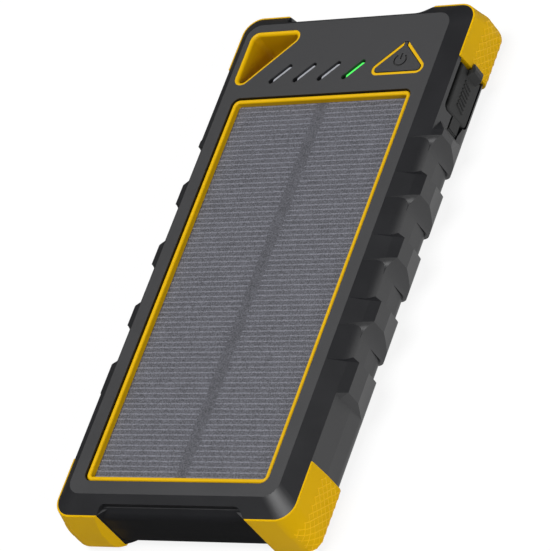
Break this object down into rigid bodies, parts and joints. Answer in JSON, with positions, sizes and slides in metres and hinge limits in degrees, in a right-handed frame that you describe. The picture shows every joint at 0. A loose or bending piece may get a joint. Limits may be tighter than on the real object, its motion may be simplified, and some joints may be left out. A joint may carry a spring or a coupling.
{
  "type": "solar phone charger",
  "caption": "Rugged solar power bank: two-part ribbed housing with corner bumpers, framed solar panel, lanyard eye, charge lights, triangular power key and tethered covers over its ports.",
  "frame": {"origin": "centre of the flat back, on the surface that the charger lies on", "axes": "+Z is the normal of the solar face, +X points to the side with the output port, +Y to the end with the charge lights and the power key"},
  "size_m": [0.086, 0.175, 0.02],
  "materials": {
    "shell_black": "fine moulded satin",
    "bumper_yellow": "soft satin rubber",
    "trim_yellow": "smooth moulded",
    "clear_film": "clear laminate with a fine grain",
    "silicon_cells": "dark silicon under the laminate",
    "circuit_board": "green solder mask",
    "clear_diffuser": "milky clear",
    "green_diffuser": "milky clear, lit green",
    "led_body": "small lamp",
    "key_black": "fine moulded satin",
    "component_black": "moulded",
    "cover_rubber": "matte rubber",
    "socket_steel": "stamped sheet",
    "screw_steel": "blackened",
    "capacitor_can": "drawn can",
    "pouch_foil": "laminated foil",
    "foam_pad": "thin foam and tape",
    "lead_insulation": "insulated wire"
  },
  "bodies": {
    "housing": {"front_shell": "shell_black", "rear_shell": "shell_black", "bumper_top_right": "bumper_yellow", "bumper_top_left": "bumper_yellow", "bumper_bottom_right": "bumper_yellow", "bumper_bottom_left": "bumper_yellow", "lanyard_liner": "trim_yellow", "window_trim": "trim_yellow", "button_ring": "trim_yellow", "solar_cover": "clear_film", "solar_cells": "silicon_cells", "solar_backing_board": "circuit_board", "main_circuit_board": "circuit_board", "battery_protection_board": "circuit_board", "light_pipes": "clear_diffuser", "light_pipe_lit": "green_diffuser", "indicator_leds": "led_body", "tact_switch": "component_black", "usb_output_socket": "socket_steel", "micro_usb_input_socket": "socket_steel", "usb_output_tongue": "component_black", "micro_usb_input_tongue": "component_black", "board_screws": "screw_steel", "rear_screws": "screw_steel", "power_inductor": "component_black", "power_chips": "component_black", "buffer_capacitors": "capacitor_can", "battery_cell_lower": "pouch_foil", "battery_cell_upper": "pouch_foil", "battery_tape": "foam_pad", "battery_pads": "foam_pad", "battery_leads": "lead_insulation", "solar_leads": "lead_insulation"},
    "power_key": {"power_button": "key_black"},
    "switch_plunger": {"switch_stem": "component_black"},
    "output_cover": {"output_port_cover": "cover_rubber"},
    "input_cover": {"input_port_cover": "cover_rubber"}
  },
  "joints": [
    {"name": "power_key_press", "type": "hinge", "parent": "housing", "child": "power_key", "pos_m": [0.0236, 0.07165, 0.0185], "axis": [1, 0, 0], "range_deg": [0, 2.4], "stiffness_Nm_per_rad": 0.05},
    {"name": "switch_stem_slide", "type": "slide", "parent": "housing", "child": "switch_plunger", "axis": [0, 0, -1], "range_m": [0, 0.00033]},
    {"name": "output_cover_hinge", "type": "hinge", "parent": "housing", "child": "output_cover", "pos_m": [0.0401, 0.0467, 0.0081], "axis": [0, 0, -1], "range_deg": [0, 100]},
    {"name": "input_cover_hinge", "type": "hinge", "parent": "housing", "child": "input_cover", "pos_m": [-0.0401, 0.0467, 0.0081], "axis": [0, 0, 1], "range_deg": [0, 100]}
  ],
  "couplings": [
    {"joint": "switch_stem_slide", "follows": "power_key_press", "m_per_rad": 0.00715}
  ]
}
